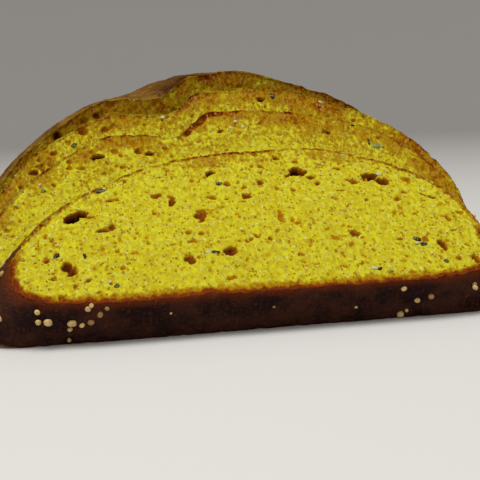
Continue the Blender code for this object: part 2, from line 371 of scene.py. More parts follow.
def ring(sizes, station, cells):
    """One row of the crust at a station: base, right side, dome and left side in turn."""
    across, up = cells
    corner = CORNER_TURN / 2
    stops = (pi + corner, 2 * pi - corner, 2 * pi + SHOULDER_TURN, 3 * pi - SHOULDER_TURN,
             3 * pi + corner)
    parts = [stretch(sizes, station, start, stop, count) for start, stop, count
             in zip(stops, stops[1:], (across, up, across, up))]
    return np.insert(np.concatenate(parts), 1, station, axis=1)


def row_normals(rows):
    """Outward directions of a grid of rings, from the cross product of its two tangents."""
    along = np.gradient(rows, axis=0)
    around = np.roll(rows, -1, axis=1) - np.roll(rows, 1, axis=1)
    return unit(np.cross(along, around))


def patch(loop, cells):
    """A face inside a ring: each inner point blends the four sides it lies between.

    It is the sum of the two straight blends between opposite sides, less the blend of the
    four corners, so the rows follow the base below and the dome above.
    """
    across, up = cells
    u = np.linspace(0, 1, across + 1)[None, :, None]
    v = np.linspace(0, 1, up + 1)[:, None, None]
    closed = np.concatenate([loop, loop[:1]])
    bottom = closed[:across + 1][None]
    right = closed[across:across + up + 1][:, None]
    top = closed[across + up:2 * across + up + 1][::-1][None]
    left = closed[2 * across + up:][::-1][:, None]
    corners = ((1 - u) * (1 - v) * bottom[:, :1] + u * (1 - v) * bottom[:, -1:]
               + (1 - u) * v * top[:, :1] + u * v * top[:, -1:])
    return (1 - v) * bottom + v * top + (1 - u) * left + u * right - corners


# ---- uneven surfaces

def smooth_noise(points, cell, seed):
    """Random values from -1 to 1 on a cubic lattice, blended by an S-curve between them."""
    size = 32
    table = np.random.default_rng(seed).uniform(-1, 1, (size, size, size))
    scaled = points / cell
    base = np.floor(scaled).astype(int)
    weight = smooth_step(scaled - base)
    total = np.zeros(points.shape[:-1])
    for corner in product((0, 1), repeat=3):
        index = (base + corner) % size
        near = np.prod(np.where(corner, weight, 1 - weight), axis=-1)
        total += near * table[index[..., 0], index[..., 1], index[..., 2]]
    return total


def rough_noise(points, cell, seed, octaves=3):
    """Layers of smooth noise, each half as wide and half as strong as the one before."""
    layers = [smooth_noise(points, cell / 2 ** k, seed + k) / 2 ** k for k in range(octaves)]
    return sum(layers) / (2 - 2 ** (1 - octaves))


def oval_depth(x, z, ragged, middle, half_sizes, turn, depth):
    """Depth inside an oval bowl: the height of half an ellipsoid, and 0 outside it.

    The ragged values push its edge out and in.
    """
    dx, dz = x - middle[0], z - middle[1]
    along = (dx * np.cos(turn) + dz * np.sin(turn)) / half_sizes[0]
    beside = (dz * np.cos(turn) - dx * np.sin(turn)) / half_sizes[1]
    return depth * np.sqrt(np.clip(1 + ragged - along ** 2 - beside ** 2, 0, 1))


def scattered_pores(x, z, ragged, cell, radii, share, seed):
    """Oval bowls, at most one at a random place in each square of a grid.

    Every point looks at the nine squares round it and keeps the deepest bowl.
    """
    size = 64
    table = np.random.default_rng(seed).random((size, size, 7))
    smallest, largest = radii
    column, row = np.floor(x / cell).astype(int), np.floor(z / cell).astype(int)
    deepest = np.zeros_like(x)
    for step_x, step_z in product((-1, 0, 1), repeat=2):
        along, up, large, full, lot, tilt, deep = np.moveaxis(
            table[(column + step_x) % size, (row + step_z) % size], -1, 0)
        middle = ((column + step_x + along) * cell, (row + step_z + up) * cell)
        radius = smallest + (largest - smallest) * large ** 2
        half_sizes = (radius, radius * (0.5 + 0.5 * full))
        depth = np.where(lot < share, radius * (0.25 + 0.85 * deep), 0)
        bowl = oval_depth(x, z, ragged, middle, half_sizes, (tilt - 0.5) * 2.4, depth)
        deepest = np.maximum(deepest, bowl)
    return deepest


def crumb_depth(face, cut):
    """How deep the pores of a cut are, for points of its plane.

    Random ovals of three sizes and the cut's large holes, pulled out of shape by noise.
    """
    x, z = (face[..., axis] + rough_noise(face, 2.4 * MM, seed + cut) * 0.9 * MM
            for axis, seed in ((0, 11), (2, 16)))
    ragged = 0.75 * rough_noise(face, 1.3 * MM, 13 + cut)
    layers = [scattered_pores(x, z, ragged, cell * MM, (small * MM, large * MM), share, seed + cut)
              for cell, small, large, share, seed in PORES]
    layers += [oval_depth(x, z, ragged, (across * MM, up * MM), (half_across * MM, half_up * MM),
                          radians(turn), depth * MM)
               for across, up, half_across, half_up, turn, depth in CUT_HOLES[cut]]
    return np.maximum.reduce(layers)


def distance_inside(face, loop):
    """Distance from points of a cut to the ring round it, taken to its nearest segment."""
    points = face[..., (0, 2)].reshape(-1, 2)
    start = loop[:, (0, 2)]
    run = np.roll(start, -1, axis=0) - start
    squared = (run ** 2).sum(1)
    nearest = []
    for some in np.array_split(points, 40):
        offset = some[:, None] - start[None]
        along = np.clip((offset * run).sum(2) / squared, 0, 1)
        nearest.append(np.linalg.norm(offset - along[..., None] * run, axis=2).min(1))
    return np.concatenate(nearest).reshape(face.shape[:-1])


def underside_and_shade(points):
    """1 on the base, fading to 0 up the sides, with an uneven edge."""
    # Its reach up the sides is partly real dark crust and partly painted shade between the slices.
    return 1 - smooth_step((points[..., 2] / MM - 10 + 7 * rough_noise(points, 14 * MM, 3)) / 23)


def crust_relief(points):
    """How far the crust stands out from the smooth form: blisters, grit and pits."""
    blisters = rough_noise(points, 9 * MM, 71)
    grit = rough_noise(points, 2.4 * MM, 81)
    pits = np.clip(rough_noise(points, 4.5 * MM, 91) - 0.35, 0, 1)
    return (BLISTERS * blisters + GRIT * grit - PITS * pits) * MM


# ---- building meshes

def numbered(first, rows, columns):
    """Numbers of the points of a grid, row by row from a first number."""
    return first + np.arange(rows * columns).reshape(rows, columns)


def grid_faces(grid):
    """Quads of a grid of point numbers."""
    quads = np.stack([grid[:-1, :-1], grid[:-1, 1:], grid[1:, 1:], grid[1:, :-1]], -1)
    return quads.reshape(-1, 4)


def border(grid):
    """A grid's border numbers: along the bottom, up, back along the top, down."""
    return np.concatenate([grid[0, :-1], grid[:-1, -1], grid[-1, :0:-1], grid[:0:-1, 0]])


def band_faces(rings):
    """Quads between each ring of point numbers and the next one."""
    rings = np.array(rings)
    beside = np.roll(rings, -1, axis=1)
    return np.stack([rings[:-1], rings[1:], beside[1:], beside[:-1]], -1).reshape(-1, 4)


def stitch_faces(fine, coarse):
    """Triangles between a ring and one with half as many points."""
    start, middle, end = fine[::2], fine[1::2], np.roll(fine[::2], -1)
    after = np.roll(coarse, -1)
    triangles = (start, coarse, middle), (coarse, after, middle), (middle, after, end)
    return np.concatenate([np.stack(corners, -1) for corners in triangles])


def make_mesh(name, points, polygons, values):
    """A mesh from points, groups of polygons with their material numbers, and attributes."""
    mesh = bpy.data.meshes.new(name)
    mesh.vertices.add(len(points))
    mesh.vertices.foreach_set("co", points.astype(np.float32).ravel())
    corners = np.concatenate([np.full(len(group), group.shape[1]) for group, _ in polygons])
    mesh.loops.add(int(corners.sum()))
    mesh.loops.foreach_set("vertex_index", np.concatenate(
        [group.ravel() for group, _ in polygons]).astype(np.int32))
    mesh.polygons.add(len(corners))
    mesh.polygons.foreach_set("loop_start", (np.cumsum(corners) - corners).astype(np.int32))
    mesh.polygons.foreach_set("material_index", np.concatenate(
        [np.full(len(group), number) for group, number in polygons]).astype(np.int32))
    for key, value in values.items():
        attribute = mesh.attributes.new(key, "FLOAT", "POINT")
        attribute.data.foreach_set("value", value.astype(np.float32))
    mesh.update(calc_edges=True)
    mesh.shade_smooth()
    return mesh


def to_place(sizes, points, name):
    """Points of the loaf moved to where their piece stands, on its CAD node.

    A slice is tipped back about the rear edge of its base. The uncut rest is only moved.
    """
    if name not in SLICES:
        low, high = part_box("loaf_rest")
        return points + [(low.x + high.x) / 2, low.y - cut_station(sizes, len(SLICES)), 0]
    node, lean, number = SLICES[name]
    low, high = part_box(node)
    angle = radians(lean)
    foot = low.y + sizes.thickness * cos(angle)
    forward = points[:, 1] - cut_station(sizes, number + 1)
    return np.column_stack([
        points[:, 0] + (low.x + high.x) / 2,
        foot + forward * cos(angle) + points[:, 2] * sin(angle),
        points[:, 2] * cos(angle) - forward * sin(angle),
    ])


def crust_rows(sizes, stations, cells, freed=0.0):
    """Rings of crust at some stations, with their relief and crumbly bites in the first.

    The relief keeps to the plane of each ring, apart from a freed share of it.
    """
    rows = np.stack([ring(sizes, station, cells) for station in stations])
    normals = row_normals(rows)
    normals[..., 1] *= freed
    relief = crust_relief(rows)
    relief[0] -= np.clip(rough_noise(rows[0], 2.2 * MM, 97) + 0.1, 0, 1) * 1.1 * MM
    return rows + unit(normals) * relief[..., None]


def toast_and_shade_of(sizes, face, distance, cut):
    """How browned a cut is, from 0 in the crumb to 1 at the crust, and how far under it is.

    Over the dome it is a thin broken rim on a wide faint one, and above the base it falls
    off evenly over a few millimetres. The wide faint one is partly toasting and partly painted
    shade, stronger on the cuts further back and, on some, darker to the right. The ear's lip is
    dark for its whole thickness.
    """
    rim, glow_and_shade, shade_to_right, dark_lip = RIMS[cut]
    strength, _, _, lip = score_parts(sizes, face[..., 0], face[:1, :1, 1])
    fine = rough_noise(face, 1.8 * MM, 17 + cut)
    patchy = rough_noise(face, 8 * MM, 19 + cut)
    away = np.maximum(0, distance / MM + 0.8 * fine * smooth_step(distance / (0.5 * MM)))
    under = underside_and_shade(face)
    across = face[..., 0] / MM
    thin = np.clip(rim + patchy + 1.4 * fine, 0.05, 0.95) * smooth_step(1.3 - away / 1.1)
    wide = (0.22 + 0.30 * patchy) * smooth_step((8.5 - away) / 5)
    if cut == 0:
        wide *= smooth_step((across + 60) / 50)
        wide *= 1 - 0.8 * smooth_step((across - 35) / 25)
        thin *= 1 - 0.25 * smooth_step((across - 20) / 25)
    # Painted shade: on some cuts the wide faint rim is lighter on the left and darker on the right.
    sided_shade = shade_to_right * (2 * smooth_step((across + 40) / 70) - 1)
    # The wide faint rim: partly toasting, partly painted shade that is stronger on the cuts further
    # back.
    faint = glow_and_shade * (1 + sided_shade + patchy + 0.5 * fine) * smooth_step(2.4 - away / 9)
    over = np.maximum(thin, wide + faint)
    base = np.clip(1.08 - (face[..., 2] / MM + 0.8 * fine) / 5.0, 0, 1)
    side = np.minimum(1, 1.8 * under) * smooth_step(1.35 - away / 2.5)
    lip = lip * strength * smooth_step((face[..., 2] - 0.045) / 0.01)
    lip = dark_lip * lip * smooth_step((3.6 * lip + 0.9 * patchy - away) / 1.4)
    return np.maximum.reduce([over * (1 - under), base, side, lip]), under


def bake_and_shade_of(sizes, points):
    """How dark the crust is: from 0 in the torn score to 1 on the ear's lip, and darker low on
    the sides, partly as darker-baked crust and partly as painted shade between the slices.
    """
    strength, torn, ear, lip = score_parts(sizes, points[:, 0], points[:, 1])
    opened = torn * (1 - smooth_step(ear * 5))
    high = smooth_step((points[:, 2] - 0.03) / 0.02)
    # Painted shade in part: the low sides are darker, partly as darker-baked crust.
    low = 1 - smooth_step((points[:, 2] - 0.02) / 0.03)
    return 0.5 + 0.35 * low + 0.5 * high * strength * (lip - opened)


def cut_face(sizes, loop, cells, cut, inward):
    """One cut face: a patch inside its ring, with its pores pressed into the slice."""
    face = patch(loop, cells)
    distance = distance_inside(face, loop[::3])
    depth = crumb_depth(face, cut) * smooth_step((distance - 0.3 * MM) / (1.1 * MM))
    toast, under = toast_and_shade_of(sizes, face, distance, cut)
    edge = smooth_step(distance / (0.8 * MM))
    grain = CRUMB_GRAIN * rough_noise(face, 1.3 * MM, 23 + cut)
    waves = CRUMB_WAVES * smooth_noise(face, 14 * MM, 29 + cut)
    face[..., 1] += inward * (depth + (grain + waves + CRUMB_INSET) * edge)
    flat = face.reshape(-1, 3)
    return flat, depth.ravel() / MM, toast.ravel(), under.ravel(), bake_and_shade_of(sizes, flat)


def crust_face(sizes, rows, station):
    """Rows of crust: no pores, near the cut at a station or not, how far under, how dark."""
    flat = rows.reshape(-1, 3)
    past = np.abs(flat[:, 1] - station) / MM
    near = np.exp(-np.maximum(0, past + 0.8 * rough_noise(flat, 3 * MM, 37)) / 2.4)
    return flat, np.zeros(len(flat)), near, underside_and_shade(flat), bake_and_shade_of(sizes, flat)


def face_grid(first, cells):
    """Numbers of a cut face's points."""
    across, up = cells
    return numbered(first, up + 1, across + 1)


def skin_of(faces, polygons):
    """A closed skin: the points of its faces, its polygons and its points' attributes."""
    points, *values = (np.concatenate(part) for part in zip(*faces))
    return points, polygons, dict(zip(("pore", "toast", "under", "bake"), values))


def slice_skin(sizes, number):
    """A slice's closed skin in the loaf's own place: front face, crust band, rear face."""
    front_station = cut_station(sizes, number)
    stations = np.linspace(front_station, front_station + sizes.thickness, CRUST_ROWS + 1)
    rim = crust_rows(sizes, stations[:2], FACE_CELLS)[0]
    rows = crust_rows(sizes, stations, REAR_CELLS)
    front = cut_face(sizes, rim, FACE_CELLS, number, 1)
    band = crust_face(sizes, rows[1:-1], front_station)
    rear = cut_face(sizes, rows[-1], REAR_CELLS, number + 1, -1)
    front_grid = face_grid(0, FACE_CELLS)
    rings = numbered(front_grid.size, CRUST_ROWS - 1, rows.shape[1])
    rear_grid = face_grid(front_grid.size + rings.size, REAR_CELLS)
    return skin_of([front, band, rear], [
        (grid_faces(front_grid), 0), (grid_faces(rear_grid)[:, ::-1], 0),
        (band_faces([*rings, border(rear_grid)]), 1),
        (stitch_faces(border(front_grid), rings[0]), 1)])


def rest_skin(sizes):
    """The uncut rest's closed skin: its cut face, then rings of crust to a point behind."""
    front_station = cut_station(sizes, len(SLICES))
    start = asin(front_station / sizes.radius)
    turns = start + (pi / 2 - start) * np.arange(REST_ROWS + 1) / (REST_ROWS + 1)
    stations = sizes.radius * np.sin(turns)
    freed = smooth_step((stations - front_station) / (12 * MM))[:, None]
    rows = crust_rows(sizes, stations, REST_CELLS, freed)
    behind = np.array([[0, sizes.radius - 0.5 * MM, sizes.belly]])
    face = cut_face(sizes, rows[0], REST_CELLS, len(SLICES), 1)
    crust, tip = (crust_face(sizes, some, front_station) for some in (rows[1:], behind))
    grid = face_grid(0, REST_CELLS)
    rings = [border(grid), *numbered(grid.size, REST_ROWS, rows.shape[1])]
    last = rings[-1]
    cap = np.stack([last, np.full(len(last), last[-1] + 1), np.roll(last, -1)], -1)
    return skin_of([face, crust, tip], [
        (grid_faces(grid), 0), (band_faces(rings), 1), (cap, 1)])


def turned(radius, height, sides):
    """Points of a profile turned about the vertical: a ring for each radius and height."""
    turn = np.arange(sides) * 2 * pi / sides
    return np.stack([radius[:, None] * np.cos(turn), radius[:, None] * np.sin(turn),
                     height[:, None] + 0 * turn], -1)


# ---- scattered small pieces

def crust_spots(sizes, name, draw, count):
    """Random points low on a piece's crust, and their outward directions."""
    if name in SLICES:
        start = cut_station(sizes, SLICES[name][2]) + 1.5 * MM
        stations = draw.uniform(start, start + sizes.thickness - 3 * MM, count)
    else:
        stations = draw.uniform(cut_station(sizes, len(SLICES)), 0.92 * sizes.radius, count)
    left = draw.random(count) < 0.5
    turns = np.where(left, draw.uniform(pi - 0.25, pi + 0.8 * CORNER_TURN, count),
                     2 * pi - draw.uniform(-0.25, 0.8 * CORNER_TURN, count))
    beside = np.array([-0.01, 0, 0.01])
    flat = np.stack([outline(sizes, station, turn + beside)
                     for station, turn in zip(stations, turns)])
    run = flat[:, 2] - flat[:, 0]
    points = np.column_stack([flat[:, 1, 0], stations, flat[:, 1, 1]])
    return points, unit(np.column_stack([run[:, 1], 0 * stations, -run[:, 0]]))


def seated(sizes, points, directions, name):
    """Points of the loaf and directions there, moved to where their piece stands."""
    placed = to_place(sizes, points, name)
    return placed, to_place(sizes, points + directions, name) - placed


def pebble(rings=5, sides=9):
    """A ball of unit half size: circles stacked between two poles, faces outwards."""
    lift = np.linspace(-pi / 2, pi / 2, rings + 2)[1:-1]
    circles = turned(np.cos(lift), np.sin(lift), sides)
    points = np.concatenate([circles.reshape(-1, 3), [[0, 0, -1], [0, 0, 1]]])
    near = numbered(0, rings, sides)
    next_to = np.roll(near, -1, axis=1)
    walls = np.stack([near[:-1], next_to[:-1], next_to[1:], near[1:]], -1).reshape(-1, 4)
    foot = np.stack([next_to[0], near[0], np.full(sides, near.size)], -1)
    head = np.stack([near[-1], next_to[-1], np.full(sides, near.size + 1)], -1)
    return points, walls, np.concatenate([foot, head])


def scatter(places, frames, half_sizes, shades, uneven):
    """A skin of many pebbles, each turned by its frame, sized, shaded and put in its place.

    Every copied point is place + frame x (half sizes x point), pushed out and in by noise.
    """
    points, walls, ends = pebble()
    sized = points[None] * half_sizes[:, None]
    moved = np.einsum("nij,npj->npi", frames, sized)
    moved = moved * (1 + uneven * smooth_noise(places[:, None] + moved, 0.8 * MM, 43)[..., None])
    moved = places[:, None] + moved
    offset = (np.arange(len(places)) * len(points))[:, None, None]
    polygons = [(np.concatenate(group[None] + offset), 0) for group in (walls, ends)]
    return moved.reshape(-1, 3), polygons, {"shade": np.repeat(shades, len(points))}


def frames_on(normals, turns):
    """Axes for pieces lying on a surface: the third axis is the normal, turned about it."""
    steady = np.where(np.abs(normals[:, 2:]) < 0.9, [[0.0, 0.0, 1.0]], [[1.0, 0.0, 0.0]])
    side = unit(np.cross(steady, normals))
    ahead = np.cross(normals, side)
    first = side * np.cos(turns)[:, None] + ahead * np.sin(turns)[:, None]
    return np.stack([first, np.cross(normals, first), normals], -1)


# ---- materials

class Nodes:
    """Short ways to add nodes to a tree. An input is a value, or a socket to join it to."""

    def __init__(self, tree):
        self.tree = tree

    def fill(self, node, inputs):
        """Set a node's inputs or join them to sockets; a colour is given as three values."""
        for key, value in inputs.items():
            socket = node.inputs[key]
            if isinstance(value, bpy.types.NodeSocket):
                self.tree.links.new(value, socket)
            else:
                socket.default_value = (*value, 1) if socket.type == "RGBA" else value

    def add(self, kind, inputs, **settings):
        """A node with its settings and its inputs."""
        node = self.tree.nodes.new("ShaderNode" + kind)
        for key, value in settings.items():
            setattr(node, key, value)
        self.fill(node, inputs)
        return node

    def attribute(self, name):
        """A value stored on the mesh's points."""
        return self.add("Attribute", {}, attribute_name=name).outputs["Fac"]

    def mix(self, factor, first, second):
        """First colour where the factor is 0, second where it is 1."""
        return self.add("Mix", {0: factor, 6: first, 7: second}, data_type="RGBA").outputs[2]

    def layers(self, colour, *rows):
        """A colour, and others that cover it where a value is high: value, low, high, colour."""
        for value, low, high, other in rows:
            colour = self.mix(self.ramp(value, low, high), colour, other)
        return colour

    def math(self, operation, *values):
        """One arithmetic step on some values."""
        return self.add("Math", dict(enumerate(values)), operation=operation).outputs[0]

    def plus(self, first, second):
        return self.math("ADD", first, second)

    def times(self, first, second):
        return self.math("MULTIPLY", first, second)

    def ramp(self, value, low, high, start=0.0, end=1.0):
        """Start below low, end above high, and an S-shaped change between."""
        return self.add("MapRange", {"Value": value, "From Min": low, "From Max": high,
                                     "To Min": start, "To Max": end},
                        interpolation_type="SMOOTHSTEP").outputs[0]

    def masks(self, name, place, *rows):
        """Masks put out by a shared group, one for each row of the group's three values."""
        group = shared_group(name)
        nodes = [self.add("Group", {0: place, **dict(enumerate(row, 1))}, node_tree=group)
                 for row in rows]
        return [node.outputs[0] for node in nodes]

    def bump(self, height, distance, strength):
        """Normals of a surface that is raised by height x distance, in metres."""
        return self.add("Bump", {"Height": height, "Distance": distance,
                                 "Strength": strength}).outputs[0]


def patchy_mask(n, given):
    """Uneven patches: a layered noise, cut off softly between two levels."""
    noise = n.add("TexNoise", {"Vector": given["Vector"], "Scale": given["Scale"],
                               "Detail": 4.0, "Roughness": 0.6})
    return n.ramp(noise.outputs["Fac"], given["From"], given["To"])


def speckled_mask(n, given):
    """Small uneven specks: the middles of random cells, in only a share of the cells."""
    where = {"Vector": given["Vector"], "Scale": given["Scale"]}
    noise = n.add("TexNoise", {**where, "Detail": 1.0})
    cells = n.add("TexVoronoi", where)
    uneven = n.math("MULTIPLY_ADD", noise.outputs["Fac"], 0.5, -0.25)
    reach = n.plus(cells.outputs["Distance"], uneven)
    inside = n.ramp(n.math("DIVIDE", reach, given["Size"]), 1.1, 0.8)
    split = n.add("SeparateColor", {"Color": cells.outputs["Color"]})
    return n.times(inside, n.math("LESS_THAN", split.outputs["Red"], given["Share"]))


# The shared groups: what each is built by, and its values with their defaults
MASKS = {"Mottling": (patchy_mask, {"Scale": 100.0, "From": 0.4, "To": 0.6}),
         "Speckle": (speckled_mask, {"Scale": 800.0, "Size": 0.3, "Share": 0.4})}


def shared_group(name):
    """A shader group that turns a Vector and some values into a varying Mask."""
    if name in bpy.data.node_groups:
        return bpy.data.node_groups[name]
    build, values = MASKS[name]
    tree = bpy.data.node_groups.new(name, "ShaderNodeTree")
    tree.interface.new_socket(name="Vector", in_out="INPUT", socket_type="NodeSocketVector")
    for key, value in values.items():
        made = tree.interface.new_socket(name=key, in_out="INPUT", socket_type="NodeSocketFloat")
        made.default_value = value
    tree.interface.new_socket(name="Mask", in_out="OUTPUT", socket_type="NodeSocketFloat")
    mask = build(Nodes(tree), tree.nodes.new("NodeGroupInput").outputs)
    tree.links.new(mask, tree.nodes.new("NodeGroupOutput").inputs["Mask"])
    return tree


def yellow_crumb(scene, n, place):
    """Yellow crumb: even, finely porous, toasted at the rim, with painted shade in its holes and tiny
    pores, paler grains partly as painted highlights, and partly painted shade on the rims of the
    cuts further back.
    """
    look = scene.crumb_look
    place = n.add("Mapping", {"Vector": place, "Scale": (1.0, 0.65, 0.65)}).outputs[0]
    broad, grainy, pale, ochre, ragged = n.masks(
        "Mottling", place, (190, 0.40, 0.66), (820, 0.42, 0.62), (850, 0.52, 0.66),
        (420, 0.55, 0.72), (620, 0.36, 0.68))
    specks, dots, flakes = n.masks("Speckle", place, (600, 0.30, 0.26), (1150, 0.34, 0.18),
                                   (900, 0.40, 0.40))
    deeper = n.plus(n.times(broad, 0.25), n.times(grainy, 0.50))
    yellow = n.mix(deeper, look.crumb, look.deep_crumb)
    # Paler specks: partly paler crumb grains, partly painted highlights on them.
    yellow = n.mix(n.times(pale, 0.66), yellow, look.pale_crumb_and_highlight)
    yellow = n.mix(n.times(ochre, 0.65), yellow, look.golden)
    shift = n.math("SUBTRACT", ragged, 0.5)
    uneven = n.plus(n.times(shift, 0.28), n.times(grainy, 0.16))
    # The toast value is partly painted shade, stronger on the cuts further back.
    toast = n.plus(n.attribute("toast"), uneven)
    colour = n.layers(yellow, (toast, 0.12, 0.50, look.golden), (toast, 0.50, 0.84, look.toasted))
    # Tiny specks toward the pore colour: painted shade of pores too small to model.
    tiny_pore_shade = n.math("MAXIMUM", n.times(specks, 0.80), dots)
    colour = n.mix(n.times(tiny_pore_shade, 0.70), colour, look.pore)
    pore = n.plus(n.attribute("pore"), n.times(shift, 0.36))
    under = n.attribute("under")
    browned = n.mix(under, look.browned, scene.crust_look.under_rim)
    # Painted shade: the pore colours darken with each pore's depth.
    colour = n.layers(colour, (pore, 0.08, 0.48, look.shallow), (pore, 0.50, 1.20, look.pore),
                      (pore, 1.20, 2.70, look.deep_pore_shade), (toast, 0.76, 1.06, browned))
    flakes = n.times(flakes, n.ramp(toast, 0.35, 0.70, 0.0, 0.75))
    flakes = n.times(flakes, n.ramp(under, 0.1, 0.6, 1.0, 0.0))
    height = n.math("SUBTRACT", n.math("SUBTRACT", pale, grainy), tiny_pore_shade)
    return {"Base Color": n.mix(flakes, colour, look.flake), "IOR": 1.05,
            "Roughness": look.roughness, "Normal": n.bump(height, 0.20 * MM, 0.9)}


def baked_crust(scene, n, place):
    """Baked crust: golden and browned patches, dark ear, nearly black gritty base; its low sides
    are darker, partly as painted shade between the slices.
    """
    look = scene.crust_look
    broad, small, sandy = n.masks("Mottling", place, (85, 0.40, 0.62), (330, 0.42, 0.60),
                                  (900, 0.46, 0.66))
    grit, = n.masks("Speckle", place, (620, 0.36, 0.35))
    bake, near = n.attribute("bake"), n.attribute("toast")
    brown = n.plus(n.times(broad, 0.45), n.times(small, 0.5))
    top = n.mix(brown, look.golden, look.browned)
    top = n.mix(n.ramp(near, 0.30, 0.90, 0.0, 0.75), top, look.torn)
    # A bake above 0.5 darkens toward the ear's colour; low on the sides this is partly painted shade.
    top = n.mix(n.ramp(bake, 0.5, 1.0), top, look.ear)
    top = n.mix(n.ramp(bake, 0.4, 0.0, 0.0, 0.5), top, look.torn)
    rusty = n.plus(n.times(broad, 0.55), n.times(sandy, 0.50))
    under = n.mix(rusty, look.under, look.under_pale)
    beside = n.times(n.ramp(near, 0.22, 0.75, 0.0, 0.85), n.ramp(sandy, 0.0, 1.0, 0.65, 1.0))
    under = n.mix(beside, under, look.under_rim)
    # The under value's reach up the sides is partly painted shade between the slices.
    colour = n.mix(n.attribute("under"), top, under)
    colour = n.mix(n.times(grit, 0.30), colour, look.under_rim)
    height = n.plus(small, n.plus(sandy, grit))
    return {"Base Color": colour, "Roughness": n.ramp(small, 0.0, 1.0, 0.66, 0.88),
            "IOR": 1.06, "Normal": n.bump(height, 0.35 * MM, 0.9)}


def toasted_grain(scene, n, place):
    """Whole toasted grains: pale gold to brown, a little darker in patches."""
    look = scene.crust_look
    patches, = n.masks("Mottling", place, (700, 0.42, 0.64))
    darker = n.plus(n.attribute("shade"), n.times(patches, 0.35))
    return {"Base Color": n.mix(darker, look.grain, look.dark_grain), "Roughness": 0.5,
            "Normal": n.bump(patches, 0.08 * MM, 0.5)}


def seed_husk(scene, n, place):
    """Striped seed husks in the crumb: black, green or nearly white, by each seed's shade."""
    look = scene.crumb_look
    stripes, = n.masks("Mottling", place, (1300, 0.50, 0.60))
    shade = n.attribute("shade")
    colour = n.layers(look.black_husk, (shade, 0.15, 0.55, look.green_husk),
                      (shade, 0.55, 0.90, look.white_husk))
    return {"Base Color": n.mix(n.times(stripes, 0.35), colour, look.white_husk),
            "Roughness": 0.75, "IOR": 1.08, "Normal": n.bump(stripes, 0.08 * MM, 0.6)}


def plain_floor(scene, n, place):
    """One even colour."""
    return {"Base Color": scene.stage_look.floor, "Roughness": 0.8}


def finish_of(scene, make):
    """A material named for its function, which gives the inputs of its shader."""
    name = make.__name__.title()
    if name not in bpy.data.materials:
        material = bpy.data.materials.new(name)
        material.use_nodes = True
        n = Nodes(material.node_tree)
        shader = next(node for node in n.tree.nodes if node.type == "BSDF_PRINCIPLED")
        n.fill(shader, make(scene, n, n.add("TexCoord", {}).outputs["Object"]))
    return bpy.data.materials[name]


# ---- pieces

def new_object(name, data, *materials):
    """An object in the scene, at the origin, with its materials."""
    for material in materials:
        data.materials.append(material)
    made = bpy.data.objects.new(name, data)
    bpy.context.scene.collection.objects.link(made)
    return made


def add_piece(scene, name, skin, finishes, node=None):
    """Build a piece that rides on the loaf's one body and stands for its CAD node.

    Its points are kept inside the CAD box, which also sets the base flat on the floor.
    """
    points, polygons, values = skin
    points = np.clip(points, *(np.array(corner) for corner in CAD_BOX))
    mesh = make_mesh(name, points, polygons, values)
    piece = new_object(name, mesh, *(finish_of(scene, finish) for finish in finishes))
    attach(piece, "root")
    if node:
        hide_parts(node)


def add_cut_piece(scene, name, skin, node):
    """Build a slice or the uncut rest from its skin in the loaf's own place."""
    points, polygons, values = skin
    placed = to_place(scene.loaf_sizes, points, name)
    add_piece(scene, name, (placed, polygons, values), (yellow_crumb, baked_crust), node)


# ---- operators

class AddSlices(Operator):
    """Build the three slices, each leaning back on the one behind"""
    bl_idname = "sourdough.add_slices"
    bl_label = "Add Slices"

    def execute(self, context):
        scene = context.scene
        for name, (node, _, number) in SLICES.items():
            add_cut_piece(scene, name, slice_skin(scene.loaf_sizes, number), node)
        return {"FINISHED"}


class AddUncutLoaf(Operator):
    """Build the uncut rest of the loaf with its crust"""
    bl_idname = "sourdough.add_uncut_loaf"
    bl_label = "Add Uncut Loaf"

    def execute(self, context):
        scene = context.scene
        add_cut_piece(scene, "uncut_loaf", rest_skin(scene.loaf_sizes), "loaf_rest")
        return {"FINISHED"}


class AddGrains(Operator):
    """Press whole grains into the crust of the base and the sides"""
    bl_idname = "sourdough.add_grains"
    bl_label = "Add Grains"

    def execute(self, context):
        sizes = context.scene.loaf_sizes
        draw = np.random.default_rng(5)
        base = np.array(BASE_GRAINS) * MM
        local = np.column_stack([base[:, 0], cut_station(sizes, 1) - base[:, 1], 0 * base[:, 0]])
        spots = [(*seated(sizes, local, [0, 0, -1], "front_slice"), base[:, 2])]
        for name, count in GRAIN_COUNTS.items():
            points, outside = crust_spots(sizes, name, draw, count)
            spots.append((*seated(sizes, points, outside, name),
                          draw.uniform(0.7, 1.2, count) * MM))
        places, normals, half = (np.concatenate(part) for part in zip(*spots))
        count = len(places)
        half_sizes = half[:, None] * np.column_stack([
            np.ones(count), draw.uniform(0.75, 1.0, count), draw.uniform(0.6, 0.85, count)])
        frames = frames_on(normals, draw.uniform(0, pi, count))
        shades = draw.choice([0.0, 0.1, 0.2, 0.75], count, p=[0.4, 0.3, 0.15, 0.15])
        places = places + normals * half_sizes[:, 2:] * GRAIN_LIFT
        add_piece(context.scene, "crust_grains", scatter(places, frames, half_sizes, shades, 0.16),
                  [toasted_grain])
        return {"FINISHED"}


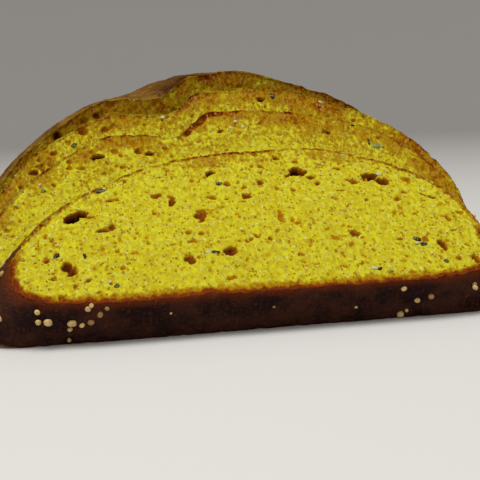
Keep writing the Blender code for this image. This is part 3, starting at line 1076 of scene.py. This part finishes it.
class AddSeeds(Operator):
    """Set seed husks and pale flecks into the cut faces"""
    bl_idname = "sourdough.add_seeds"
    bl_label = "Add Seeds"

    def execute(self, context):
        sizes = context.scene.loaf_sizes
        spots = []
        for name, (_, _, number) in SLICES.items():
            across, up, half_across, half_up, turn, shade = np.array(CUT_SEEDS[number]).T
            station = cut_station(sizes, number) + SEED_INSET * MM
            flat = np.column_stack([across * MM, 0 * up + station, up * MM])
            turn = np.radians(turn)
            side = np.column_stack([np.cos(turn), 0 * turn, np.sin(turn)])
            place, outward = seated(sizes, flat, [0, -1, 0], name)
            half_sizes = np.column_stack([half_across, half_up, 0 * turn + SEED_HALF_DEPTH]) * MM
            spots.append((place, seated(sizes, flat, side, name)[1], outward, half_sizes, shade))
        places, first, third, half_sizes, shades = (np.concatenate(part) for part in zip(*spots))
        frames = np.stack([first, np.cross(third, first), third], -1)
        add_piece(context.scene, "crumb_seeds", scatter(places, frames, half_sizes, shades, 0.45),
                  [seed_husk])
        return {"FINISHED"}


class AddStage(Operator):
    """Set up the plain floor, the soft lights and the camera"""
    bl_idname = "sourdough.add_stage"
    bl_label = "Add Stage"

    def execute(self, context):
        scene = context.scene
        add_floor(scene)
        add_light("Overhead_Light", place=(-0.22, -0.34, 1.25), target=(0, -0.05, 0.03),
                  size=0.8, power=14.9)
        add_light("Front_Light", place=(-0.5, -1.5, 0.9), target=(0, 0, 0.04),
                  size=1.0, power=5.0)
        scene.world = bpy.data.worlds.new("Soft_Room")
        scene.world.use_nodes = True
        sky = scene.world.node_tree.nodes["Background"].inputs
        sky["Color"].default_value = (1, 0.99, 0.97, 1)
        sky["Strength"].default_value = 0.36
        scene.view_settings.view_transform = "Standard"
        add_camera(scene, scene.stage_look.lens)
        return {"FINISHED"}


def add_floor(scene):
    """A flat round floor whose rim sweeps up all round: a profile turned about the middle."""
    sides, flat, sweep = 96, 2.0, 1.2
    bend = np.linspace(0, pi / 2, 14)[1:]
    radius = np.concatenate([np.linspace(0.05, flat, 12), flat + sweep * np.sin(bend)])
    height = np.concatenate([np.zeros(12), sweep - sweep * np.cos(bend)])
    rows = turned(radius, height, sides)
    points = np.concatenate([rows.reshape(-1, 3), [[0, 0, 0]]])
    rings = numbered(0, len(rows), sides)
    middle = np.stack([np.full(sides, rings.size), rings[0], np.roll(rings[0], -1)], -1)
    mesh = make_mesh("floor", points, [(band_faces(rings), 0), (middle, 0)], {})
    floor = new_object("floor", mesh, finish_of(scene, plain_floor))


def add_light(name, place, target, size, power):
    """A square soft light at a place, facing a target."""
    data = bpy.data.lights.new(name, "AREA")
    data.size, data.energy = size, power
    light = new_object(name, data)
    light.location = place
    light.rotation_euler = (Vector(target) - Vector(place)).to_track_quat("-Z", "Y").to_euler()


def add_camera(scene, lens):
    """A camera in front, near the ground, turned a little right and down, and rolled."""
    place = (-0.0698, -0.4066, 0.0649)
    yaw, pitch, roll = radians(11.08), radians(-6.81), radians(-2.22)
    ahead = Vector((sin(yaw) * cos(pitch), cos(yaw) * cos(pitch), sin(pitch)))
    level_right = Vector((cos(yaw), -sin(yaw), 0))
    level_up = level_right.cross(ahead)
    right = level_right * cos(roll) + level_up * sin(roll)
    up = level_up * cos(roll) - level_right * sin(roll)
    data = bpy.data.cameras.new("Camera")
    data.lens, data.sensor_width, data.shift_y = lens, 36.0, -0.0208
    scene.camera = new_object("Camera", data)
    facing = Matrix((right, up, -ahead)).transposed().to_4x4()
    scene.camera.matrix_world = Matrix.Translation(place) @ facing


class SourdoughPanel(Panel):
    """Sizes, colours and build steps of the loaf"""
    bl_idname = "VIEW3D_PT_sourdough"
    bl_label = "Sliced Round Sourdough"
    bl_space_type = "VIEW_3D"
    bl_region_type = "UI"
    bl_category = "Sourdough"

    def draw(self, context):
        layout = self.layout
        for step in STEPS:
            layout.operator(step.bl_idname)
        for key, group in GROUPS.items():
            box = layout.box()
            for name in group.__annotations__:
                box.prop(getattr(context.scene, key), name)


GROUPS = {"loaf_sizes": LoafSizes, "crumb_look": CrumbLook, "crust_look": CrustLook,
          "stage_look": StageLook}
STEPS = (AddStage, AddUncutLoaf, AddSlices, AddGrains, AddSeeds)


def register():
    for item in (*GROUPS.values(), *STEPS, SourdoughPanel):
        bpy.utils.register_class(item)
    for key, group in GROUPS.items():
        setattr(bpy.types.Scene, key, PointerProperty(type=group))


def unregister():
    for key in GROUPS:
        delattr(bpy.types.Scene, key)
    for item in reversed((*GROUPS.values(), *STEPS, SourdoughPanel)):
        bpy.utils.unregister_class(item)


def main():
    """Register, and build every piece."""
    register()
    bpy.ops.sourdough.add_stage()
    bpy.ops.sourdough.add_uncut_loaf()
    bpy.ops.sourdough.add_slices()
    bpy.ops.sourdough.add_grains()
    bpy.ops.sourdough.add_seeds()


if __name__ == "__main__":
    main()
